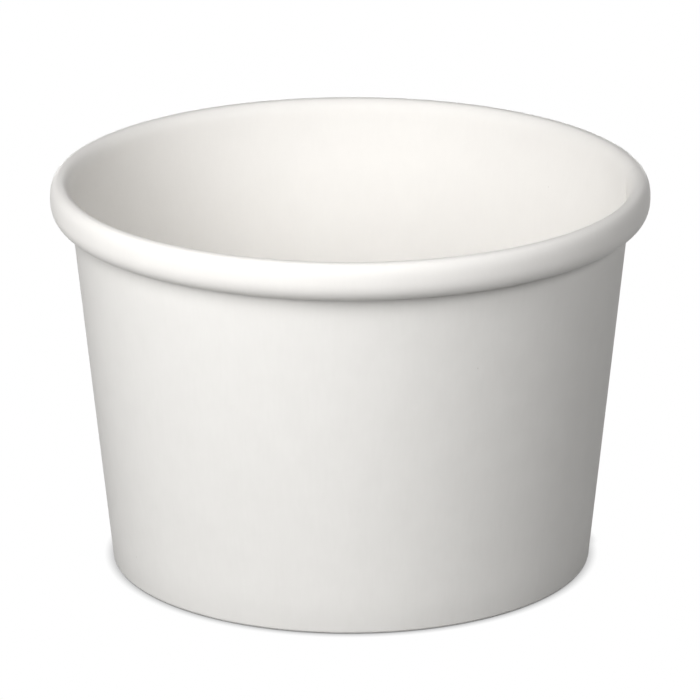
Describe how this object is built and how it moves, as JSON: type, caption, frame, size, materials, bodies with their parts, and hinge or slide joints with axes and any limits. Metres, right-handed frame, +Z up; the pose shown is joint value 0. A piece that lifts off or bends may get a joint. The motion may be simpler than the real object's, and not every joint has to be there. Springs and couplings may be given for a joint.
{
  "type": "paper sundae cup",
  "caption": "Squat plain white paper cup with a tapered wall, a rolled rim, a lapped side seam and a recessed bottom held in a folded foot, for a serving of ice cream.",
  "frame": {"origin": "centre of the foot ring, on the surface that the cup stands on", "axes": "+Z up along the cup's axis, out of its mouth; the middle of the side seam is 12 degrees from +X towards +Y"},
  "size_m": [0.096, 0.096, 0.0635],
  "materials": {
    "wall_board": "satin",
    "bottom_board": "satin"
  },
  "bodies": {
    "root": {"side_wall": "wall_board", "bottom_disc": "bottom_board"}
  },
  "joints": []
}
